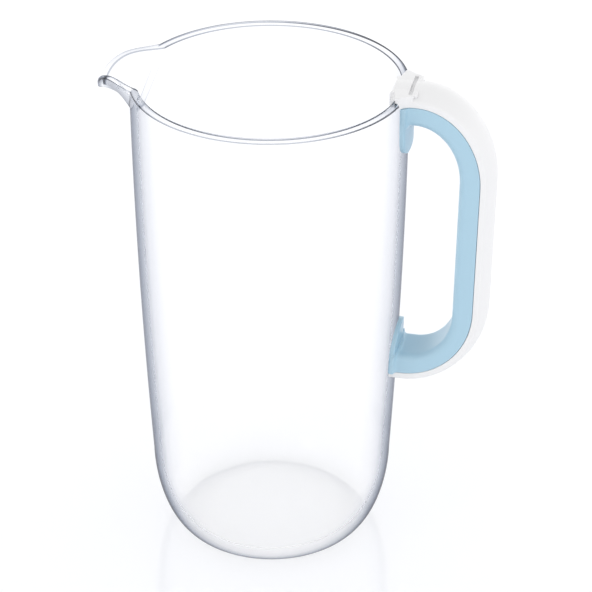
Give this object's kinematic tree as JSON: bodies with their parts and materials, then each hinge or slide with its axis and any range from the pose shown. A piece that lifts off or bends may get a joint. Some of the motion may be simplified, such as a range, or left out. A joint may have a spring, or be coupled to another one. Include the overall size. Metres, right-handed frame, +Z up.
{
  "type": "water pitcher jug",
  "caption": "Open clear round jug of a water pitcher, with a pinched pouring spout and a two-piece loop handle in white and pale blue that hooks over the rim.",
  "frame": {"origin": "middle of the base, in the plane of the standing ring", "axes": "+Z up through the mouth, +X towards the handle, -X towards the spout"},
  "size_m": [0.2047, 0.14, 0.2653],
  "materials": {
    "clear_body": "clear injection-moulded SAN, polished inside and out",
    "blue_grip": "pale blue moulded polypropylene, fine satin",
    "white_shell": "white moulded ABS, satin",
    "screw_steel": "plain stainless steel"
  },
  "bodies": {
    "root": {"jug_body": "clear_body", "handle_grip": "blue_grip", "handle_shell": "white_shell", "fixing_screws": "screw_steel"}
  },
  "joints": []
}
